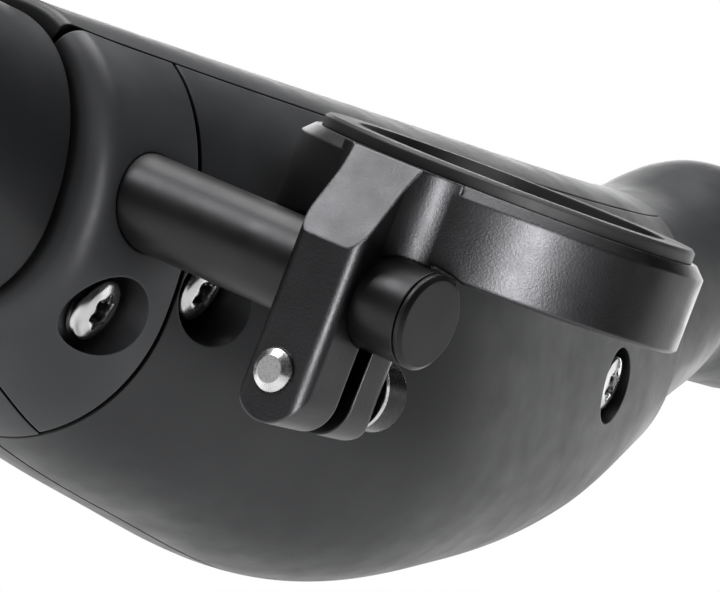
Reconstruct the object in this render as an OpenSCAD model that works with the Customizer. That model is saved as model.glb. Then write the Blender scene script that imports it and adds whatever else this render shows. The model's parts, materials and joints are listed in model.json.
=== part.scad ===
// Cockpit centre section of an aero road handlebar with an out-front computer mount.
// +X is the riding direction, +Y runs along the handlebar and +Z is up.
// The origin lies on the mounting rod's axis, where the rod leaves the bracket.

/* [Mounting rod] */
// Diameter of the round rod that carries the mount
rod_d = 9; // [8.8:0.05:9.2]
// How far the rod's free end stands in front of the bracket
rod_reach = 32.9; // [32:0.1:36]
// Height of the separate end cap
rod_cap_h = 0.9; // [0.8:0.1:1.2]

/* [Clamp arm] */
// Width of the arm along the rod
arm_w = 7.2; // [6.8:0.1:8]
// Distance of the arm's outer face from the bracket
arm_x = 27; // [26.5:0.1:28]
// Half thickness of the arm across the rod
arm_half = 6.35; // [6.2:0.05:6.6]
// Width of the clamping slot
slot_w = 2.4; // [1.5:0.1:2.8]
// Depth of the jaws below the rod's axis
jaw_drop = 13.6; // [13:0.1:15]

/* [Computer socket] */
// Outer diameter of the socket ring
ring_d = 40; // [39.5:0.1:40.2]
// Height of the socket ring
ring_h = 8.3; // [8:0.1:8.4]
// Sideways distance from the rod's axis to the socket's axis
ring_y = 19.9; // [19.5:0.1:20.5]
// Diameter of the hole between the socket's lips
lip_d = 25.4; // [25:0.1:25.8]

/* [Handlebar body] */
// Wall of the covers and wings
wall = 4; // [3.6:0.1:4.4]
// Wall of the inner core
core_wall = 2.8; // [2.4:0.1:3.2]
// Visible seam between neighbouring covers
seam = 0.3; // [0.15:0.05:0.4]
// Shadow gap between the bracket and the near wing
shadow_gap = 1.2; // [0.8:0.1:1.6]
// Outer diameter of the open wing ends
wing_d = 26; // [25:0.5:27]

/* [Screws] */
// Diameter of the cover screws' round heads
head_d = 6.4; // [6:0.1:6.6]
// Diameter of the counterbores round those heads
counterbore_d = 8.4; // [8:0.1:8.8]
// Thread diameter of the cover screws and of the clamp bolt
thread_d = 4; // [3.8:0.1:4.2]

/* [Hidden] */
$fn = 64;
fit = 0.02;
rod_r = rod_d / 2;

// The body is lofted along Y and mirrors about its middle plane. Each station holds the distance
// from that plane, then the nose, crown and chin points, and the tail point behind them.
mid_y = 50;
//          d   nose x  nose z  crown x crown z  chin x chin z  tail x tail z
stations = [[0,    9.6,  -13,    -13,   13.8,    -14,   -35.8,  -37,   -8],
            [24,   5.9,  -12,    -13,   13.8,    -15,   -32.3,  -37,   -8],
            [44,   0.9,   -9.5,  -14.5, 13.8,    -18,   -27.3,  -37,   -6],
            [57,  -3,     -5,    -17.5, 13.9,    -21,   -20.3,  -38,   -2],
            [74,  -8.5,    2,    -22,   15.5,    -25,   -12.5,  -39,    3],
            [93, -15,      7,    -28,   20,      -28,    -6,    -41,    7]];
// a power below 1 squares the front of the section between nose and crown
crown_power = 0.92;
body_end = 93;
end_axis = [-28, 7];
end_l = 14;

// y planes of the pieces along the bar
wing_edge = 58;
wing_step = 1.6;
seam_y = 6.5;
lip_a = -58;
core_edge = 69;
// the bracket rises out of the nose beyond the seam, along this many degrees of a sine
pad_rise = 1.6;
pad_arc = 135;
shell_y = [mid_y - wing_edge + shadow_gap, mid_y + wing_edge - shadow_gap];
bracket_y = [shell_y[0], seam_y - seam / 2];
cover_y = [seam_y + seam / 2, shell_y[1]];
wing_screw_d = 64.5;
wing_screw_at = [-27, -13.2];
wing_screw_low = -30;
wing_screw_seat_r = 3.8;

// round joint for the stem at the back of the middle
stem_x = -64;
stem_step = -34.2;
stem_front = -28;
stem_r = 14;
stem_spigot_r = 12.4;
stem_bore_r = 11;

// angles round the section: 0 at the nose, 90 at the crown, 180 at the tail, 270 at the chin
crown_a = 70;
chin_a = -78;
seam_a = 1;
core_inset = wall + 0.2;
ring_step = 6;

// rod and bush
bush_r = 5;
bush_back = -17;
bush_face = -6;
bush_chamfer = 0.4;
rod_bore = rod_r + 0.1;
rod_root = -19;
clip_x = -18;
clip_h = 0.8;
clip_r = rod_r + 1;
clip_groove_r = rod_r - 0.6;

// arm and socket
arm_mid = arm_x - arm_w / 2;
ring_x = arm_x - 4.15;
ring_z0 = 4.1;
ring_z1 = ring_z0 + ring_h;
ring_r = ring_d / 2;
bevel_low = [-arm_half, 3.7];
bevel_high = [-1.5, ring_z1];
corner_r = 1.4;
blend_r = 5;
blend_bite = 0.06;
insert_r = 17;
flange_r = 18.4;
flange_h = 1.3;
recess_r = 15.3;
lip_z = [10.9, ring_z1 - 0.2];
floor_h = 2.2;
insert_floor = ring_z0 + floor_h + 1.4;
notch_w = 10;
insert_screw_circle = 11.2;
insert_screw_head_r = 1.9;
insert_screw_thread_r = 0.96;
floor_hole_r = 8;
ring_chamfer = 1;
bolt_z = -8.85;
bolt_x = arm_x - 3.8;
bolt_r = thread_d / 2;
bolt_head_r = 3.5;
bolt_head_h = 4;
washer_r = 3.9;
washer_h = 0.5;

// cover screws: the point on the axis where the head seats, and how far the axis turns down and
// away from X
bracket_screw_at = [[-2.95, -0.8, -10.8], 9.3, 9.5];
near_screw_at = [[-0.95, 10.8, -6.5], 9.3, 9.5];
far_screw_at = [[0.45, 85.4, -5.1], 0, 14.2];
head_h = 2.0;
shank_l = 10;
hole_l = 14;
hole_out = 20;
nut_depth = 4;
nut_l = 7.5;
nut_r = bolt_r + 0.9;

function lerp(a, b, t) = a + (b - a) * t;
function slope_at(i, k) =
    i == 0 ? 0
    : i == len(stations) - 1 ? 0
    : (stations[i + 1][k] - stations[i - 1][k]) / (stations[i + 1][0] - stations[i - 1][0]);
function hermite(a, b, ma, mb, h, t) =
    a * (2 * t * t * t - 3 * t * t + 1) + ma * h * (t * t * t - 2 * t * t + t)
    + b * (3 * t * t - 2 * t * t * t) + mb * h * (t * t * t - t * t);
function span_of(d, i = 0) = i >= len(stations) - 2 || d <= stations[i + 1][0] ? i : span_of(d, i + 1);
function value_at(d, k) =
    let (i = span_of(d), p = stations[i], q = stations[i + 1], h = q[0] - p[0])
    hermite(p[k], q[k], slope_at(i, k), slope_at(i + 1, k), h, (d - p[0]) / h);
function station_at(y) = [for (k = [0:8]) k == 0 ? y : value_at(min(abs(y - mid_y), body_end), k)];

// One point of the section at angle a, moved inwards by inset, its nose moved out by rise
function body_point(s, a, inset, rise = 0) =
    let (front = cos(a) >= 0, top = sin(a) >= 0, power = front && top ? crown_power : 1,
         cx = top ? s[3] : s[5],
         side_x = front ? s[1] + rise - inset : s[7] + inset,
         side_z = front ? s[2] : s[8],
         edge_z = top ? s[4] - inset : s[6] + inset)
    [cx + (side_x - cx) * pow(abs(cos(a)), power), s[0],
     side_z + (edge_z - side_z) * pow(abs(sin(a)), power)];
function closed_ring(y, inset, n) =
    let (s = station_at(y)) [for (i = [0:n - 1]) body_point(s, 360 * i / n, inset)];
function pad_at(y) = pad_rise * sin(pad_arc * max(0, seam_y - y) / (seam_y - mid_y + wing_edge));
function shell_ring(y, a0, a1, inner, n, raised) =
    let (s = station_at(y), rise = raised ? pad_at(y) : 0)
    concat([for (i = [0:n]) body_point(s, lerp(a0, a1, i / n), 0, rise)],
           [for (i = [n:-1:0]) body_point(s, lerp(a0, a1, i / n), inner)]);
function steps(y0, y1) =
    let (n = ceil((y1 - y0) / ring_step)) [for (i = [0:n]) lerp(y0, y1, i / n)];

// End face of a ring of n points: one polygon, or a strip of quads where the ring is a curved shell
function end_face(n, shell) =
    shell ? [for (i = [0:n / 2 - 2]) [i, i + 1, n - 2 - i, n - 1 - i]] : [[for (i = [0:n - 1]) i]];

// Closed solid through rings that all hold the same number of points
module loft(rings, shell = false) {
    n = len(rings[0]);
    top = (len(rings) - 1) * n;
    sides = [for (j = [0:len(rings) - 2], i = [0:n - 1])
        each [[j * n + i, j * n + (i + 1) % n, (j + 1) * n + i],
              [j * n + (i + 1) % n, (j + 1) * n + (i + 1) % n, (j + 1) * n + i]]];
    start_caps = [for (f = end_face(n, shell)) [for (k = [len(f) - 1:-1:0]) f[k]]];
    end_caps = [for (f = end_face(n, shell)) [for (i = f) top + i]];
    polyhedron([for (r = rings) each r], concat(start_caps, sides, end_caps));
}

// Round solid along X from x0 to x1, at (y, z)
module along_x(x0, x1, r, y = 0, z = 0) {
    translate([x0, y, z]) rotate([0, 90, 0]) cylinder(h = x1 - x0, r = r);
}

// Round solid along Y from y0 to y1, at (x, z)
module along_y(y0, y1, r, x, z) {
    translate([x, y0, z]) rotate([-90, 0, 0]) cylinder(h = y1 - y0, r = r);
}

// Solid of revolution about X from (x, r) points
module turned_x(points) {
    rotate([0, 90, 0]) rotate_extrude() polygon([for (p = points) [p[1], p[0]]]);
}

// Places a cover screw's parts: origin on the seat, +Z out of the nose
module on_screw(at) {
    translate(at[0]) rotate([0, 90 + at[1], at[2]]) children();
}

// Counterbore, seat and clearance hole for a cover screw
module screw_hole(at) {
    on_screw(at) {
        cylinder(h = hole_out, r = counterbore_d / 2);
        translate([0, 0, -nut_depth - 1]) cylinder(h = nut_depth + 2, r = bolt_r + 0.25);
        translate([0, 0, -hole_l]) cylinder(h = hole_l - nut_depth + 0.1, r = nut_r + 0.1);
    }
}

// Hole for the rivet nut in the core, with a pocket under the cover's seat
module core_hole(at) {
    on_screw(at) {
        translate([0, 0, -hole_l]) cylinder(h = hole_out, r = nut_r);
        translate([0, 0, -0.8]) cylinder(h = 7, r = head_d / 2 + 0.5);
    }
}

module bar_core() {
    color("dimgray") difference() {
        loft([for (y = steps(mid_y - core_edge, mid_y + core_edge)) closed_ring(y, core_inset, 40)]);
        loft([for (y = steps(mid_y - core_edge - 1, mid_y + core_edge + 1))
            closed_ring(y, core_inset + core_wall, 40)]);
        along_x(bush_back - 1, 1, bush_r);
        along_x(rod_root - 2, bush_back + 0.5, clip_r + 0.5);
        for (at = [bracket_screw_at, near_screw_at, far_screw_at]) core_hole(at);
        along_x(stem_x, stem_front + 3, stem_spigot_r + 0.2, mid_y, stations[0][8]);
        for (side = [-1, 1]) wing_screw_axis(side, bolt_r + 0.3);
    }
}

module cover_piece(y_span, a0, a1, n, raised = false) {
    loft([for (y = steps(y_span[0], y_span[1])) shell_ring(y, a0, a1, wall, n, raised)], true);
}

module rear_shell() {
    color([0.2, 0.2, 0.21]) difference() {
        cover_piece(shell_y, crown_a + seam_a, 360 + chin_a - seam_a, 22);
        along_x(stem_x, stem_front + 8, stem_r + fit, mid_y, stations[0][8]);
    }
}

module main_cover() {
    color([0.24, 0.24, 0.25]) difference() {
        cover_piece(cover_y, chin_a, crown_a, 20);
        screw_hole(near_screw_at);
        screw_hole(far_screw_at);
    }
}

// Strip of the nose that runs on under the bracket
module cover_lip() {
    color([0.24, 0.24, 0.25]) cover_piece([shell_y[0], seam_y], chin_a, lip_a - seam_a, 6, true);
}

module bracket() {
    color([0.28, 0.28, 0.29]) difference() {
        cover_piece(bracket_y, lip_a, crown_a, 20, true);
        screw_hole(bracket_screw_at);
        along_x(bush_back, 8, rod_bore);
        along_x(bush_back, bush_face + bush_chamfer + fit, bush_r + fit);
    }
}

// The wings start a little inside the covers and grow to the full section at their ends
function step_at(y) = wing_step * (body_end - abs(y - mid_y)) / (body_end - wing_edge);

module wing(side) {
    inner = mid_y + side * wing_edge;
    outer = mid_y + side * body_end;
    difference() {
        loft([for (y = steps(min(inner, outer), max(inner, outer))) closed_ring(y, step_at(y), 48)]);
        loft([for (y = steps(min(inner, outer) - 1, max(inner, outer) + 1)) closed_ring(y, wall, 48)]);
        wing_screw_axis(side, bolt_r + 0.25);
        wing_screw_seat(side);
    }
}

module wing_screw_axis(side, r) {
    translate([wing_screw_at[0], mid_y + side * wing_screw_d, wing_screw_low]) cylinder(h = 32, r = r);
}

module wing_screw_seat(side) {
    translate([wing_screw_at[0], mid_y + side * wing_screw_d, wing_screw_low])
        cylinder(h = wing_screw_at[1] - wing_screw_low, r = wing_screw_seat_r);
}

module wing_near() {
    color([0.2, 0.2, 0.21]) wing(-1);
}

module wing_far() {
    color([0.2, 0.2, 0.21]) wing(1);
}

module wing_end(side) {
    y0 = mid_y + side * body_end;
    y1 = y0 + side * end_l;
    difference() {
        along_y(min(y0, y1), max(y0, y1), wing_d / 2, end_axis[0], end_axis[1]);
        along_y(min(y0, y1) - 1, max(y0, y1) + 1, wing_d / 2 - wall / 2, end_axis[0], end_axis[1]);
    }
}

module wing_end_near() {
    color([0.2, 0.2, 0.21]) wing_end(-1);
}

module wing_end_far() {
    color([0.2, 0.2, 0.21]) wing_end(1);
}

module stem_stub() {
    color([0.2, 0.2, 0.21]) translate([0, mid_y, stations[0][8]]) difference() {
        union() {
            along_x(stem_x, stem_step, stem_r);
            along_x(stem_step - 0.8, stem_front, stem_spigot_r);
        }
        along_x(stem_x - 1, stem_front + 1, stem_bore_r);
    }
}

module rod_bush() {
    color("black") turned_x([[bush_back, rod_r + fit], [bush_back, bush_r - fit],
        [bush_face, bush_r - fit], [bush_face + bush_chamfer, bush_r - bush_chamfer],
        [bush_face + bush_chamfer, rod_r + fit]]);
}

module rod() {
    color([0.12, 0.12, 0.13]) difference() {
        along_x(rod_root, rod_reach - rod_cap_h, rod_r);
        difference() {
            along_x(clip_x, clip_x + clip_h, clip_r);
            along_x(clip_x - 1, clip_x + clip_h + 1, clip_groove_r);
        }
    }
}

module rod_end_cap() {
    x0 = rod_reach - rod_cap_h;
    color([0.24, 0.24, 0.25]) turned_x([[x0, 0], [x0, rod_r - 0.35], [x0 + 0.2, rod_r - 0.35],
        [x0 + 0.2, rod_r], [rod_reach - 0.35, rod_r], [rod_reach, rod_r - 0.4], [rod_reach, 0]]);
}

module rod_clip() {
    color("silver") turned_x([[clip_x, clip_groove_r], [clip_x, clip_r],
        [clip_x + clip_h, clip_r], [clip_x + clip_h, clip_groove_r]]);
}

// Plan of the arm with rounded upright edges
module arm_plan() {
    x0 = arm_x - arm_w;
    translate([x0 + corner_r, -arm_half]) square([arm_w - 2 * corner_r, 2 * arm_half]);
    translate([x0, -arm_half + corner_r]) square([arm_w, 2 * (arm_half - corner_r)]);
    for (x = [x0 + corner_r, arm_x - corner_r], y = [-arm_half + corner_r, arm_half - corner_r])
        translate([x, y]) circle(corner_r);
}

// Concave blend between a side of the arm and the socket ring, on side 1 or -1
module blend_plan(side) {
    face = side > 0 ? arm_x : arm_x - arm_w;
    cx = face + side * (blend_r - blend_bite);
    reach = ring_r + blend_r - blend_bite;
    cy = ring_y - sqrt(reach * reach - (cx - ring_x) * (cx - ring_x));
    inside = (ring_r - 0.5) / reach;
    difference() {
        polygon([[face - side, cy], [cx, cy],
                 [ring_x + (cx - ring_x) * inside, ring_y + (cy - ring_y) * inside],
                 [face - side, ring_y + (cy - ring_y) * inside + 2]]);
        translate([cx, cy]) circle(blend_r);
    }
}

// Everything on the lower, inner side of the sloping face
module bevel_keep() {
    run = bevel_high[0] - bevel_low[0];
    rise = bevel_high[1] - bevel_low[1];
    translate([-10, 0, 0]) rotate([90, 0, 90]) linear_extrude(60)
        polygon([[bevel_low[0], -40], bevel_low, bevel_low + 3 * [run, rise], [60, 60], [60, -40]]);
}

// Side view of the jaws with full round lower ends
module jaw_outline() {
    r = arm_w / 2;
    translate([0, 30, 0]) rotate([90, 0, 0]) linear_extrude(60) {
        translate([arm_mid, -jaw_drop + r]) circle(r);
        translate([-10, -jaw_drop + r]) square([70, 60]);
    }
}

// Socket ring before boring, relieved where it passes over the rod
module ring_blank() {
    difference() {
        translate([ring_x, ring_y, 0]) rotate_extrude()
            polygon([[0, ring_z0], [ring_r - 0.3, ring_z0], [ring_r, ring_z0 + 0.3],
                     [ring_r, ring_z1 - ring_chamfer], [ring_r - ring_chamfer, ring_z1], [0, ring_z1]]);
        along_x(-10, 60, rod_r + 0.5);
    }
}

module mount_arm() {
    color([0.15, 0.15, 0.16]) difference() {
        union() {
            ring_blank();
            intersection() {
                translate([0, 0, -jaw_drop - 1]) linear_extrude(ring_z1 + jaw_drop + 1) arm_plan();
                jaw_outline();
                bevel_keep();
            }
            intersection() {
                translate([0, 0, ring_z0]) linear_extrude(ring_h) union() {
                    blend_plan(1);
                    blend_plan(-1);
                }
                bevel_keep();
            }
        }
        translate([ring_x, ring_y, ring_z0 + floor_h]) cylinder(h = ring_h, r = insert_r + fit);
        translate([ring_x, ring_y, 0]) cylinder(h = ring_h, r = floor_hole_r);
        for (a = [45:90:315]) translate([ring_x, ring_y, 0]) rotate(a)
            translate([insert_screw_circle, 0, 0]) cylinder(h = 10, r = 1.1);
        along_x(arm_x - 20, arm_x + 20, rod_r + fit);
        translate([arm_x - 20, -0.5, -30]) cube([40, slot_w, 30]);
        along_y(-20, 0.5, bolt_r + fit, bolt_x, bolt_z);
        along_y(0, 20, bolt_r + 0.15, bolt_x, bolt_z);
    }
}

module socket_insert() {
    z0 = ring_z0 + floor_h;
    color([0.1, 0.1, 0.1]) translate([ring_x, ring_y, 0]) difference() {
        rotate_extrude() polygon([[floor_hole_r, z0], [insert_r, z0], [insert_r, ring_z1], [flange_r, ring_z1],
            [flange_r, ring_z1 + flange_h - 0.3], [flange_r - 0.3, ring_z1 + flange_h],
            [recess_r, ring_z1 + flange_h], [recess_r, lip_z[1]], [lip_d / 2, lip_z[1]],
            [lip_d / 2, lip_z[0]], [recess_r, lip_z[0]], [recess_r, insert_floor], [floor_hole_r, insert_floor]]);
        intersection() {
            translate([0, 0, lip_z[0] - 1]) cylinder(h = 5, r = recess_r - 0.2);
            translate([-notch_w / 2, -30, 0]) cube([notch_w, 60, 30]);
        }
        for (a = [45:90:315]) rotate(a) translate([insert_screw_circle, 0, 0]) cylinder(h = 20, r = insert_screw_thread_r + fit);
    }
}

module insert_screws() {
    color("dimgray") for (a = [45:90:315]) translate([ring_x, ring_y, 0]) rotate(a)
        translate([insert_screw_circle, 0, insert_floor]) difference() {
            union() {
                cylinder(h = 1, r = insert_screw_head_r);
                translate([0, 0, -3]) cylinder(h = 3.5, r = insert_screw_thread_r);
            }
            translate([0, 0, 0.4]) cylinder(h = 1, r = 0.8, $fn = 6);
        }
}

module clamp_bolt() {
    tip = -arm_half - 0.8;
    head = arm_half + washer_h;
    color("silver") translate([bolt_x, 0, bolt_z]) difference() {
        rotate([-90, 0, 0]) rotate_extrude() polygon([[0, tip], [1.3, tip], [bolt_r, tip + 0.5],
            [bolt_r, head], [bolt_head_r, head], [bolt_head_r, head + bolt_head_h - 0.4],
            [bolt_head_r - 0.4, head + bolt_head_h], [0, head + bolt_head_h]]);
        translate([0, head + 2, 0]) rotate([-90, 0, 0]) cylinder(h = 3, r = 1.73, $fn = 6);
    }
}

module bolt_washer() {
    color("silver") translate([bolt_x, arm_half, bolt_z]) rotate([-90, 0, 0]) difference() {
        cylinder(h = washer_h, r = washer_r);
        translate([0, 0, -1]) cylinder(h = 3, r = bolt_r + 0.1);
    }
}

// Six rounded lobes of the drive recess
module lobe_recess(depth) {
    cylinder(h = depth, r = 1.35);
    for (a = [0:60:300]) rotate(a) translate([1.4, 0, 0]) cylinder(h = depth, r = 0.42);
}

module cover_screw(at) {
    on_screw(at) difference() {
        rotate_extrude() polygon([[0, -shank_l], [bolt_r - 0.4, -shank_l], [bolt_r, 0.4 - shank_l],
            [bolt_r, 0], [head_d / 2, 0], [head_d / 2, head_h - 0.7], [head_d / 2 - 0.25, head_h - 0.3],
            [head_d / 2 - 0.8, head_h], [0, head_h]]);
        translate([0, 0, head_h - 1.3]) lobe_recess(2);
    }
}

module bracket_screw() {
    color("silver") cover_screw(bracket_screw_at);
}

module cover_screw_near() {
    color("silver") cover_screw(near_screw_at);
}

module cover_screw_far() {
    color("silver") cover_screw(far_screw_at);
}

// Round nut set in the core, bored for the screw's shank
module rivet_nut(at) {
    on_screw(at) translate([0, 0, -nut_depth - nut_l]) difference() {
        cylinder(h = nut_l, r = nut_r - fit);
        translate([0, 0, -1]) cylinder(h = 10, r = bolt_r + fit);
    }
}

module bracket_rivet_nut() {
    color("gold") rivet_nut(bracket_screw_at);
}

module cover_rivet_nut_near() {
    color("gold") rivet_nut(near_screw_at);
}

module cover_rivet_nut_far() {
    color("gold") rivet_nut(far_screw_at);
}

module wing_screw(side) {
    translate([wing_screw_at[0], mid_y + side * wing_screw_d, wing_screw_at[1]]) difference() {
        union() {
            translate([0, 0, -2]) cylinder(h = 2, r = head_d / 2);
            cylinder(h = shank_l, r = bolt_r);
        }
        translate([0, 0, -2.1]) lobe_recess(1.4);
    }
}

module wing_screw_near() {
    color("silver") wing_screw(-1);
}

module wing_screw_far() {
    color("silver") wing_screw(1);
}

bar_core();
rear_shell();
main_cover();
cover_lip();
bracket();
wing_near();
wing_far();
wing_end_near();
wing_end_far();
stem_stub();
rod_bush();
rod();
rod_end_cap();
rod_clip();
mount_arm();
socket_insert();
insert_screws();
clamp_bolt();
bolt_washer();
bracket_screw();
cover_screw_near();
cover_screw_far();
bracket_rivet_nut();
cover_rivet_nut_near();
cover_rivet_nut_far();
wing_screw_near();
wing_screw_far();
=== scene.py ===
"""Looks of the cockpit centre section with its computer mount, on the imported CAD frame.

Blender works in metres. Sizes of the object are in millimetres here and are scaled by MM.
"""
import json
import math

import bmesh
import bpy
from mathutils import Matrix, Vector


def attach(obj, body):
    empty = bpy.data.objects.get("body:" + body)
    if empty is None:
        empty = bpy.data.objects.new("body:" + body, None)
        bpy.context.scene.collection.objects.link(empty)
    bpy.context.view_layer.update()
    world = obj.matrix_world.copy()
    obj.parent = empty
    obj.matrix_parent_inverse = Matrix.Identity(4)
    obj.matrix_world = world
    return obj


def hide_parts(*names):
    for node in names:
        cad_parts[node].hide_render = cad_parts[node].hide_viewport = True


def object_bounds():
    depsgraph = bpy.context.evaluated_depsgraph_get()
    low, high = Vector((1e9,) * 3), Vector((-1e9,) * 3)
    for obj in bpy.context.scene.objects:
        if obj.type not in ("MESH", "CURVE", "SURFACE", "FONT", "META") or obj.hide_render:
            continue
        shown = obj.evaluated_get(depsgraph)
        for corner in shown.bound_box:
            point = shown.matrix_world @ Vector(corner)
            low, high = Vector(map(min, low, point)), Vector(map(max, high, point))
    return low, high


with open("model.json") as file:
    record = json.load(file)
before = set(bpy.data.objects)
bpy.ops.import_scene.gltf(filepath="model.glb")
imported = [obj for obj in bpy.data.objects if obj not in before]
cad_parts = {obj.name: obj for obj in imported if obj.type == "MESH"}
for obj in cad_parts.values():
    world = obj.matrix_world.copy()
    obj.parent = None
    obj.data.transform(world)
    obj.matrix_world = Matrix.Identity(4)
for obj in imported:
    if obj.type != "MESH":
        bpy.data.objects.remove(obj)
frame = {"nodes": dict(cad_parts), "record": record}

MM = 0.001
CAD_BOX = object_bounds()
NODES = frame["nodes"]

# ---------------------------------------------------------------- the handlebar's shape
# The CAD body's stations: distance from the middle plane, then the nose, crown, chin and tail
# points as (x, z) pairs.
MID_Y = 50.0
STATIONS = (
    (0, 9.6, -13, -13, 13.8, -14, -35.8, -37, -8),
    (24, 5.9, -12, -13, 13.8, -15, -32.3, -37, -8),
    (44, 0.9, -9.5, -14.5, 13.8, -18, -27.3, -37, -6),
    (57, -3, -5, -17.5, 13.9, -21, -20.3, -38, -2),
    (74, -8.5, 2, -22, 15.5, -25, -12.5, -39, 3),
    (93, -15, 7, -28, 20, -28, -6, -41, 7),
)
BODY_END = 93.0
CROWN_POWER = 0.92
WALL = 4.0
CROWN_ANGLE = 70.0
CHIN_ANGLE = -78.0
LIP_ANGLE = -58.0
SEAM_ANGLE = 1.0
WING_GAP = 1.2
WING_EDGE = 58.0
WING_STEP = 1.6
SEAM_Y = 6.5
SEAM = 0.6
# The bracket rises out of the nose beyond the seam, along this many degrees of a sine
PAD_RISE = 1.6
PAD_ARC = 135.0
SHELL_LOW = MID_Y - WING_EDGE + WING_GAP
SHELL_HIGH = MID_Y + WING_EDGE - WING_GAP

# ---------------------------------------------------------------- holes and screws
RING_X, RING_Y = 22.85, 19.9
ROD_BORE_R = 4.6
STEM_HOLE_R = 14.02
STEM_Z = -8
COUNTERBORE_R = 4.2
SHANK_HOLE_R = 2.25
SHANK_HOLE_L = 12
# Cuts that leave the body run this far past their seat
CUT_OUT = 20
# Each wing screw's x and z, its distance from the middle plane and the radius of its seat
WING_SCREW = (-27, -13.2)
WING_SCREW_D = 64.5
WING_SEAT_R = 3.8
STRAIGHT_DOWN = 90
# The point where each cover screw's head seats, and how far its axis turns down and away from X
SCREWS = {
    "bracket_screw": ((-2.95, -0.8, -10.8), 9.3, 9.5),
    "cover_screw_near": ((-0.95, 10.8, -6.5), 9.3, 9.5),
    "cover_screw_far": ((0.45, 85.4, -5.1), 0.0, 14.2),
}
# Height of a head, depth of its drive recess, and that recess's mean radius and swing of its lobes
HEAD_H = 2.0
LOBE_DEPTH = 1.3
LOBE_R = 1.42
LOBE_SWING = 0.33
# The recess flares from the first height below the head's top to the second above it, and it widens
# by the second as well
LOBE_FLARE = (0.28, 0.3)


# ---------------------------------------------------------------- points on the handlebar
def slope_at(i, k):
    """Slope of shape value k at station i; flat at both ends."""
    if i in (0, len(STATIONS) - 1):
        return 0.0
    before, after = STATIONS[i - 1], STATIONS[i + 1]
    return (after[k] - before[k]) / (after[0] - before[0])


def station_at(y):
    """The eight shape values at a y in millimetres, by the CAD body's cubic."""
    d = min(abs(y - MID_Y), BODY_END)
    i = 0
    while i < len(STATIONS) - 2 and d > STATIONS[i + 1][0]:
        i += 1
    low, high = STATIONS[i], STATIONS[i + 1]
    h = high[0] - low[0]
    t = (d - low[0]) / h
    rise = t * t * (3 - 2 * t)
    start, end = t * (1 - t) ** 2, t * t * (t - 1)
    return [
        low[k] * (1 - rise) + high[k] * rise + h * (slope_at(i, k) * start + slope_at(i + 1, k) * end)
        for k in range(1, 9)
    ]


def body_point(y, angle, inset=0.0, rise=0.0):
    """A point of the section at y, at an angle from the nose through the crown, in metres."""
    nose_x, nose_z, crown_x, crown_z, chin_x, chin_z, tail_x, tail_z = station_at(y)
    c, s = math.cos(math.radians(angle)), math.sin(math.radians(angle))
    power = CROWN_POWER if c >= 0 and s >= 0 else 1.0
    middle_x = crown_x if s >= 0 else chin_x
    side_x, side_z = (nose_x + rise - inset, nose_z) if c >= 0 else (tail_x + inset, tail_z)
    edge_z = crown_z - inset if s >= 0 else chin_z + inset
    x = middle_x + (side_x - middle_x) * abs(c) ** power
    return Vector((x, y, side_z + (edge_z - side_z) * abs(s) ** power)) * MM


def pad_at(y):
    """How far the bracket stands out of the nose."""
    part = max(0.0, SEAM_Y - y) / (SEAM_Y - MID_Y + WING_EDGE)
    return PAD_RISE * math.sin(math.radians(PAD_ARC) * part)


# ---------------------------------------------------------------- mesh helpers
def new_object(name, bm):
    """Puts a finished bmesh in the scene as an object."""
    bmesh.ops.recalc_face_normals(bm, faces=bm.faces)
    mesh = bpy.data.meshes.new(name)
    bm.to_mesh(mesh)
    bm.free()
    obj = bpy.data.objects.new(name, mesh)
    bpy.context.scene.collection.objects.link(obj)
    return obj


def spaced(start, end, count):
    """count + 1 even steps from start to end."""
    return [start + (end - start) * i / count for i in range(count + 1)]


def skin(bm, rings):
    """Joins closed rings of points by quads; returns the rings' vertices."""
    rows = [[bm.verts.new(p) for p in ring] for ring in rings]
    n = len(rows[0])
    for low, high in zip(rows, rows[1:]):
        for i in range(n):
            j = (i + 1) % n
            bm.faces.new((low[i], low[j], high[j], high[i]))
    return rows


def shell_piece(name, y0, y1, a0, a1, across, along, soft=0.0, raised=False):
    """A curved cover with its wall; soft is the radius of its rounded edge at y0."""
    angles = spaced(a0, a1, across)
    turns = [math.radians(a) for a in spaced(0, 90, 8)] if soft else []
    planes = [(y0 + soft * (1 - math.cos(t)), soft * (1 - math.sin(t))) for t in turns[:-1]]
    planes += [(y, 0.0) for y in spaced(y0 + soft, y1, along)]
    bm = bmesh.new()
    rings = []
    for y, inset in planes:
        rise = pad_at(y) if raised else 0.0
        outer = [body_point(y, a, inset, rise) for a in angles]
        inner = [body_point(y, a, WALL) for a in reversed(angles)]
        rings.append(outer + inner)
    rows = skin(bm, rings)
    n = len(angles)
    for row in (rows[0], rows[-1]):
        for i in range(n - 1):
            bm.faces.new((row[i], row[i + 1], row[2 * n - 2 - i], row[2 * n - 1 - i]))
    return new_object(name, bm)


def tube_piece(name, y0, y1, around, along):
    """A hollow wing between two y planes."""
    bm = bmesh.new()
    angles = spaced(0, 360, around)[:-1]
    ys = spaced(y0, y1, along)
    steps = [WING_STEP * (BODY_END - abs(y - MID_Y)) / (BODY_END - WING_EDGE) for y in ys]
    outer = skin(bm, [[body_point(y, a, s) for a in angles] for y, s in zip(ys, steps)])
    inner = skin(bm, [[body_point(y, a, WALL) for a in angles] for y in ys])
    for out_row, in_row in ((outer[0], inner[0]), (outer[-1], inner[-1])):
        for i in range(around):
            j = (i + 1) % around
            bm.faces.new((out_row[i], out_row[j], in_row[j], in_row[i]))
    return new_object(name, bm)


def along_axis(at, down, away):
    """Places a piece made along Z so that it lies along X, turned down and away about a point."""
    return (
        Matrix.Translation(Vector(at) * MM)
        @ Matrix.Rotation(math.radians(away), 4, "Z")
        @ Matrix.Rotation(math.radians(90 + down), 4, "Y")
    )


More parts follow.
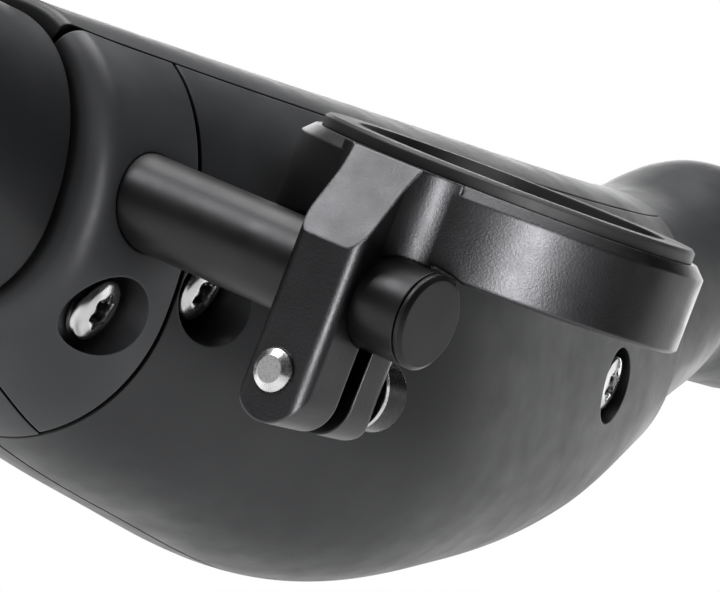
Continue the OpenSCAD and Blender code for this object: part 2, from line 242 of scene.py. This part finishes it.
def cutter(x0, x1, radius, at=(0, 0, 0), down=0.0, away=0.0, sides=96):
    """A cylinder that cuts a hole from x0 to x1 along the axis."""
    bm = bmesh.new()
    place = along_axis(at, down, away) @ Matrix.Translation((0, 0, (x0 + x1) / 2 * MM))
    bmesh.ops.create_cone(
        bm, cap_ends=True, segments=sides, radius1=radius * MM, radius2=radius * MM,
        depth=(x1 - x0) * MM, matrix=place,
    )
    return new_object("cutter", bm)


def cut(obj, tools):
    """Subtracts the tools from obj and applies the result."""
    for tool in tools:
        mod = obj.modifiers.new("cut", "BOOLEAN")
        mod.operation, mod.solver, mod.object = "DIFFERENCE", "EXACT", tool
    settle(obj)
    for tool in tools:
        bpy.data.meshes.remove(tool.data)


def settle(obj):
    """Bakes obj's modifiers into its mesh."""
    depsgraph = bpy.context.evaluated_depsgraph_get()
    mesh = bpy.data.meshes.new_from_object(obj.evaluated_get(depsgraph))
    obj.modifiers.clear()
    old, obj.data = obj.data, mesh
    bpy.data.meshes.remove(old)


def round_edges(obj, width, segments=3, angle=35):
    """Small rounded edges where faces meet at more than an angle, and smooth faces elsewhere."""
    bevel = obj.modifiers.new("edges", "BEVEL")
    bevel.width, bevel.segments = width * MM, segments
    bevel.limit_method, bevel.angle_limit = "ANGLE", math.radians(angle)
    bevel.harden_normals = True
    for face in obj.data.polygons:
        face.use_smooth = True


# ---------------------------------------------------------------- materials
class Nodes:
    """A material's node tree with short calls for the nodes used here."""

    def __init__(self, name):
        self.material = bpy.data.materials.new(name)
        self.material.use_nodes = True
        self.tree = self.material.node_tree
        self.shader = self.tree.nodes["Principled BSDF"]
        self.position = self.add("ShaderNodeTexCoord").outputs["Object"]

    def add(self, kind, **values):
        """A new node of a kind, with its settings."""
        node = self.tree.nodes.new(kind)
        for key, value in values.items():
            setattr(node, key, value)
        return node

    def link(self, output, socket):
        self.tree.links.new(output, socket)

    def noise(self, per_metre, detail=3.0, roughness=0.55):
        """Noise on the object's own coordinates."""
        node = self.add("ShaderNodeTexNoise")
        node.inputs["Scale"].default_value = per_metre
        node.inputs["Detail"].default_value = detail
        node.inputs["Roughness"].default_value = roughness
        self.link(self.position, node.inputs["Vector"])
        return node.outputs["Fac"]

    def spread(self, value, low, high, start=0.3, end=0.7):
        """Maps start to end onto low to high."""
        node = self.add("ShaderNodeMapRange")
        for socket, number in zip(node.inputs[1:5], (start, end, low, high)):
            socket.default_value = number
        self.link(value, node.inputs[0])
        return node.outputs[0]

    def mix(self, factor, first, second):
        """Mixes two colours, each a tuple or another node's output."""
        node = self.add("ShaderNodeMix", data_type="RGBA")
        self.link(factor, node.inputs[0])
        for socket, value in ((node.inputs[6], first), (node.inputs[7], second)):
            if isinstance(value, tuple):
                socket.default_value = (*value, 1.0)
            else:
                self.link(value, socket)
        return node.outputs[2]

    def edge_mask(self, radius):
        """A normal rounded at edges, and a mask of 1 on those edges and 0 on flats."""
        bevel = self.add("ShaderNodeBevel", samples=6)
        bevel.inputs["Radius"].default_value = radius
        geometry = self.add("ShaderNodeNewGeometry")
        dot = self.add("ShaderNodeVectorMath", operation="DOT_PRODUCT")
        self.link(bevel.outputs[0], dot.inputs[0])
        self.link(geometry.outputs["Normal"], dot.inputs[1])
        return bevel.outputs[0], self.spread(dot.outputs["Value"], 1.0, 0.0, 0.8, 0.995)

    def painted_shade_mask(self, distance):
        """1 on open surfaces, 0 deep in holes and grooves; used to paint shade into the base colour there.
        """
        node = self.add("ShaderNodeAmbientOcclusion", samples=8)
        node.inputs["Distance"].default_value = distance
        return self.spread(node.outputs["AO"], 0.0, 1.0, 0.4, 0.92)

    def bump(self, height, strength, depth, normal):
        """A bump of a height on top of a normal."""
        node = self.add("ShaderNodeBump")
        node.inputs["Strength"].default_value = strength
        node.inputs["Distance"].default_value = depth
        self.link(height, node.inputs["Height"])
        self.link(normal, node.inputs["Normal"])
        return node.outputs[0]

    def set(self, **values):
        """Sets the shader's sockets by name, with _ for a space."""
        for key, value in values.items():
            self.shader.inputs[key.replace("_", " ")].default_value = value


# Painted shade: holes and grooves narrower than this are darkened in the base colour, down to this share of
# the colour
RECESS_SHADE_REACH = 0.005
RECESS_SHADE_SHARE = 0.06


def coated_material(name, colour, metallic, rough, grain, grain_depth, wear, edge_radius=0.00025,
                    specular=0.5):
    """A dark coated surface: fine grain, uneven gloss, faint colour drift, lighter edges and painted shade
    in its holes and grooves.
    """
    m = Nodes(name)
    fine = m.noise(grain, 4.0, 0.65)
    broad = m.noise(90, 3.0)
    dark = tuple(c * 0.86 for c in colour)
    light = tuple(min(1.0, c * 1.16) for c in colour)
    bevel_normal, edges = m.edge_mask(edge_radius)
    worn = m.mix(m.spread(edges, 0.0, wear, 0.0, 1.0), m.mix(broad, dark, light),
                 tuple(min(1.0, c * 3 + 0.08) for c in colour))
    # Painted shade: a dark copy of the colour that holes and grooves are darkened towards
    recess = tuple(c * RECESS_SHADE_SHARE for c in colour)
    m.link(m.mix(m.painted_shade_mask(RECESS_SHADE_REACH), recess, worn), m.shader.inputs["Base Color"])
    m.link(m.spread(m.noise(260, 5.0), rough - 0.05, rough + 0.06), m.shader.inputs["Roughness"])
    m.link(m.bump(fine, 0.6, grain_depth, bevel_normal), m.shader.inputs["Normal"])
    m.set(Metallic=metallic, Specular_IOR_Level=specular)
    return m.material


def steel_material(name, colour, rough):
    """Bright turned steel with a faint brush grain and soft edges."""
    m = Nodes(name)
    grain = m.noise(9000, 2.0)
    bevel_normal, edges = m.edge_mask(0.00012)
    dull = tuple(c * 0.8 for c in colour)
    m.link(m.mix(m.spread(m.noise(700), 0.0, 0.6), colour, dull), m.shader.inputs["Base Color"])
    m.link(m.spread(grain, rough - 0.05, rough + 0.1), m.shader.inputs["Roughness"])
    m.link(m.bump(grain, 0.25, 0.000008, bevel_normal), m.shader.inputs["Normal"])
    m.set(Metallic=1.0, Specular_IOR_Level=0.5)
    return m.material


def paint(obj, material):
    """Gives a piece its one material."""
    obj.data.materials.clear()
    obj.data.materials.append(material)


# Name, colour, metallic, roughness, grain per metre, grain depth and edge wear
BODY = coated_material("satin_black_body", (0.036, 0.037, 0.040), 0.0, 0.42, 5200, 0.00002, 0.25,
                       specular=0.4)
ANODISED = coated_material("blasted_black", (0.062, 0.062, 0.065), 1.0, 0.36, 4200, 0.00004, 0.5,
                           edge_radius=0.00035)
ROD = coated_material("satin_black_rod", (0.022, 0.022, 0.024), 0.5, 0.36, 6500, 0.00001, 0.3)
POLYMER = coated_material("matt_moulding", (0.016, 0.016, 0.017), 0.0, 0.5, 5200, 0.00003, 0.12)
CORE = coated_material("dark_core", (0.008, 0.008, 0.009), 0.0, 0.6, 3000, 0.00003, 0.05)
STEEL = steel_material("bright_steel", (0.66, 0.66, 0.67), 0.17)
# The front jaw's face, in metres: the bolt is bare where it stands out of it
JAW_FACE_Y = -0.0064
JAW_FACE_BLUR = 0.0004


def bolt_material():
    """Black oxide bolt whose turned tip, beyond the front jaw, is bare."""
    m = Nodes("pinch_bolt")
    split = m.add("ShaderNodeSeparateXYZ")
    m.link(m.position, split.inputs[0])
    bare = m.spread(split.outputs["Y"], 1.0, 0.0, JAW_FACE_Y, JAW_FACE_Y + JAW_FACE_BLUR)
    bevel_normal, edges = m.edge_mask(0.00015)
    black = m.mix(m.noise(900), (0.02, 0.02, 0.02), (0.05, 0.05, 0.05))
    m.link(m.mix(bare, black, (0.78, 0.78, 0.78)), m.shader.inputs["Base Color"])
    m.link(m.spread(m.noise(4000), 0.22, 0.36), m.shader.inputs["Roughness"])
    m.link(m.bump(m.noise(9000), 0.1, 0.000005, bevel_normal), m.shader.inputs["Normal"])
    m.set(Metallic=1.0)
    return m.material


BRASS = steel_material("plain_brass", (0.70, 0.55, 0.30), 0.35)

SLOT_MATERIALS = {
    "body": BODY, "core": CORE, "anodised": ANODISED, "rod": ROD, "polymer": POLYMER,
    "steel": STEEL, "nut": BRASS,
}
for part in frame["record"]["subparts"]:
    obj = NODES[part["node"]]
    obj.data.materials.clear()
    obj.data.materials.append(SLOT_MATERIALS[part["material_slot"]])
paint(NODES["clamp_bolt"], bolt_material())


# ---------------------------------------------------------------- the handlebar's covers
def screw_hole(seat_r, *axis):
    """Cuts a screw's seat and the hole for its shank."""
    return [cutter(0, CUT_OUT, seat_r, *axis), cutter(-SHANK_HOLE_L, 1, SHANK_HOLE_R, *axis)]


def lathe(bm, profile, sides):
    """Turns (radius, height) points in millimetres about Z; the ends lie on the axis."""
    rings = []
    for r, z in profile:
        if r == 0:
            rings.append([bm.verts.new(Vector((0, 0, z)) * MM)] * sides)
        else:
            turns = [2 * math.pi * i / sides for i in range(sides)]
            rings.append([bm.verts.new(Vector((r * math.cos(t), r * math.sin(t), z)) * MM) for t in turns])
    for low, high in zip(rings, rings[1:]):
        for i in range(sides):
            j = (i + 1) % sides
            corners = []
            for v in (low[i], low[j], high[j], high[i]):
                if v not in corners:
                    corners.append(v)
            bm.faces.new(corners)


def lobe_cutter(steps=96):
    """The six-lobed drive recess, flared at the head's top."""
    bm = bmesh.new()
    rows = []
    below, above = LOBE_FLARE
    for z, grow in ((HEAD_H - LOBE_DEPTH, 0.0), (HEAD_H - below, 0.0), (HEAD_H + above, above)):
        row = []
        for i in range(steps):
            t = 2 * math.pi * i / steps
            r = LOBE_R + grow + LOBE_SWING * math.cos(6 * t)
            row.append(Vector((r * math.cos(t), r * math.sin(t), z)) * MM)
        rows.append(row)
    ends = skin(bm, rows)
    bm.faces.new(ends[0])
    bm.faces.new(ends[-1])
    return new_object("lobes", bm)


def make_screws():
    """Domed six-lobe screws with a rounded rim, from (radius, height) points on each outline."""
    shank = [(0, -10), (1.6, -10), (2.0, -9.6), (2.0, 0), (3.0, 0), (3.2, 0.2)]
    rim = [(3.2 - 0.75 * (1 - math.cos(t)), 1.15 + 0.6 * math.sin(t))
           for t in (math.radians(a) for a in spaced(0, 80, 8))]
    top = [(2.0, 1.86), (1.0, 1.97), (0, HEAD_H)]
    for name, axis in SCREWS.items():
        bm = bmesh.new()
        lathe(bm, shank + rim + top, 96)
        screw = new_object(name + "_turned", bm)
        cut(screw, [lobe_cutter()])
        screw.data.transform(along_axis(*axis))
        round_edges(screw, 0.06, 2, 30)
        paint(screw, STEEL)
        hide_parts(name)
        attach(screw, "bar")


def make_covers():
    """The bracket, the strip under it, the nose and the rear cover, with their holes."""
    bracket = shell_piece("bracket_panel", SHELL_LOW, SEAM_Y - SEAM / 2, LIP_ANGLE, CROWN_ANGLE,
                          84, 16, soft=2.0, raised=True)
    rod_bore = cutter(-24, 10, ROD_BORE_R)
    cut(bracket, screw_hole(COUNTERBORE_R, *SCREWS["bracket_screw"]) + [rod_bore])
    lip = shell_piece("nose_lip", SHELL_LOW, SEAM_Y, CHIN_ANGLE, LIP_ANGLE - SEAM_ANGLE,
                      24, 16, soft=2.0, raised=True)
    nose = shell_piece("nose_cover", SEAM_Y + SEAM / 2, SHELL_HIGH, CHIN_ANGLE, CROWN_ANGLE, 84, 90)
    cut(nose, screw_hole(COUNTERBORE_R, *SCREWS["cover_screw_near"])
        + screw_hole(COUNTERBORE_R, *SCREWS["cover_screw_far"]))
    rear = shell_piece("rear_cover", SHELL_LOW, SHELL_HIGH, CROWN_ANGLE + SEAM_ANGLE,
                       360 + CHIN_ANGLE - SEAM_ANGLE, 90, 90, soft=1.0)
    cut(rear, [cutter(-60, -20, STEM_HOLE_R, (0, MID_Y, STEM_Z))])
    for obj, node in ((bracket, "bracket"), (lip, "cover_lip"), (nose, "main_cover"), (rear, "rear_shell")):
        round_edges(obj, 0.3)
        paint(obj, BODY)
        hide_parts(node)
        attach(obj, "bar")


def make_wings():
    """The two swept tubes with the seats of their screws."""
    for side, node in ((-1, "wing_near"), (1, "wing_far")):
        inner, outer = MID_Y + side * WING_EDGE, MID_Y + side * BODY_END
        wing = tube_piece(node + "_skin", min(inner, outer), max(inner, outer), 120, 50)
        at = (WING_SCREW[0], MID_Y + side * WING_SCREW_D, WING_SCREW[1])
        cut(wing, screw_hole(WING_SEAT_R, at, STRAIGHT_DOWN))
        round_edges(wing, 0.5)
        paint(wing, BODY)
        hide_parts(node)
        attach(wing, "bar")


make_covers()
make_wings()
make_screws()


# ---------------------------------------------------------------- floor, light and camera
WORLD_STRENGTH = 0.035
FLOOR_GLOW = 0.09
FLOOR_SIZE = 3.0
FLOOR_DROP = 0.06
# Name, direction from the ring, distance, width, height and watts
LIGHTS = (
    ("top_soft", (-0.3, 0.15, 1.0), 0.6, 0.50, 0.55, 4.4),
    ("left_high", (-0.55, -0.49, 0.67), 0.6, 0.22, 0.22, 1.6),
    ("back_right", (0.35, 0.93, 0.10), 0.7, 0.35, 0.35, 0.5),
    ("back_rim", (-0.55, 0.83, 0.06), 0.75, 0.80, 0.34, 3.2),
)
# Lights that reach only some pieces, with those pieces' names
GLINTS = (
    (("ring_glint", (0.80, -0.60, 0.02), 0.6, 0.10, 0.25, 3.4), ("mount_arm", "socket_insert")),
    (("edge_glint", (0.62, -0.78, 0.02), 0.6, 0.08, 0.30, 1.8), ("bracket_panel", "nose_lip")),
)


def seen_white(tree, shader, surface):
    """White where the camera sees it, the given shader for every other ray."""
    white = tree.nodes.new("ShaderNodeEmission")
    white.inputs["Color"].default_value = (1, 1, 1, 1)
    path = tree.nodes.new("ShaderNodeLightPath")
    mix = tree.nodes.new("ShaderNodeMixShader")
    tree.links.new(path.outputs["Is Camera Ray"], mix.inputs[0])
    tree.links.new(shader, mix.inputs[1])
    tree.links.new(white.outputs[0], mix.inputs[2])
    tree.links.new(mix.outputs[0], surface)


def make_floor():
    """A plain pale floor a little below the object."""
    low, high = CAD_BOX
    bm = bmesh.new()
    bmesh.ops.create_grid(bm, x_segments=1, y_segments=1, size=FLOOR_SIZE,
                          matrix=Matrix.Translation((0, (low.y + high.y) / 2, low.z - FLOOR_DROP)))
    floor = new_object("floor", bm)
    m = Nodes("pale_floor")
    m.link(m.mix(m.noise(6), (0.86, 0.86, 0.86), (0.9, 0.9, 0.9)), m.shader.inputs["Base Color"])
    m.set(Roughness=0.9, Specular_IOR_Level=0.1, Emission_Strength=FLOOR_GLOW)
    m.shader.inputs["Emission Color"].default_value = (1, 1, 1, 1)
    seen_white(m.tree, m.shader.outputs[0], m.tree.nodes["Material Output"].inputs["Surface"])
    paint(floor, m.material)


def area_light(name, direction, distance, width, height, watts, target):
    """A rectangular light that faces the target from a direction."""
    light = bpy.data.lights.new(name, "AREA")
    light.shape, light.size, light.size_y = "RECTANGLE", width, height
    light.energy = watts
    obj = bpy.data.objects.new(name, light)
    away = Vector(direction).normalized()
    obj.location = target + away * distance
    obj.rotation_euler = (-away).to_track_quat("-Z", "Y").to_euler()
    bpy.context.scene.collection.objects.link(obj)
    return obj


def make_lights():
    """Soft lights on everything, and narrow ones on a few pieces."""
    target = Vector((RING_X, RING_Y, 0)) * MM
    for name, direction, distance, width, height, watts in LIGHTS:
        area_light(name, direction, distance, width, height, watts, target)
    for light, names in GLINTS:
        lit = bpy.data.collections.new(light[0] + "_lit")
        for name in names:
            lit.objects.link(NODES[name] if name in NODES else bpy.data.objects[name])
        area_light(*light, target).light_linking.receiver_collection = lit


def make_world():
    """Dim even light from all round, white behind the object."""
    world = bpy.data.worlds.new("studio")
    bpy.context.scene.world = world
    world.use_nodes = True
    tree = world.node_tree
    background = tree.nodes["Background"]
    background.inputs["Color"].default_value = (0.95, 0.97, 1.0, 1)
    background.inputs["Strength"].default_value = WORLD_STRENGTH
    seen_white(tree, background.outputs[0], tree.nodes["World Output"].inputs["Surface"])


# Camera: degrees round, up and of roll, distance in metres, lens and sensor, aim on the rod, and how
# far the aim shifts right and up in the view
CAMERA_ANGLES = (33.53, 3.79, 20.8)
CAMERA_DISTANCE = 0.430
CAMERA_LENS = 240.2
CAMERA_SENSOR = 36.0
CAMERA_AIM_X = 27.0
CAMERA_SHIFT = (-1.79, 0.54)


def make_camera():
    """Looks from the near wing's side, a little above the level, rolled so that Z leans right."""
    azimuth, elevation, roll = (math.radians(a) for a in CAMERA_ANGLES)
    shift_right, shift_up = CAMERA_SHIFT
    back = Vector((math.sin(azimuth) * math.cos(elevation), -math.cos(azimuth) * math.cos(elevation),
                   math.sin(elevation)))
    level = Vector((math.cos(azimuth), math.sin(azimuth), 0))
    right = level * math.cos(roll) + back.cross(level) * math.sin(roll)
    up = back.cross(right)
    aim = Vector((CAMERA_AIM_X, 0, 0)) * MM + right * (shift_right * MM) + up * (shift_up * MM)
    camera = bpy.data.cameras.new("camera")
    camera.lens, camera.sensor_width = CAMERA_LENS, CAMERA_SENSOR
    camera.clip_start = 0.01
    obj = bpy.data.objects.new("camera", camera)
    turn = Matrix((right, up, back)).transposed()
    obj.matrix_world = Matrix.Translation(aim + back * CAMERA_DISTANCE) @ turn.to_4x4()
    bpy.context.scene.collection.objects.link(obj)
    bpy.context.scene.camera = obj


make_floor()
make_lights()
make_world()
make_camera()
bpy.context.scene.view_settings.view_transform = "Standard"
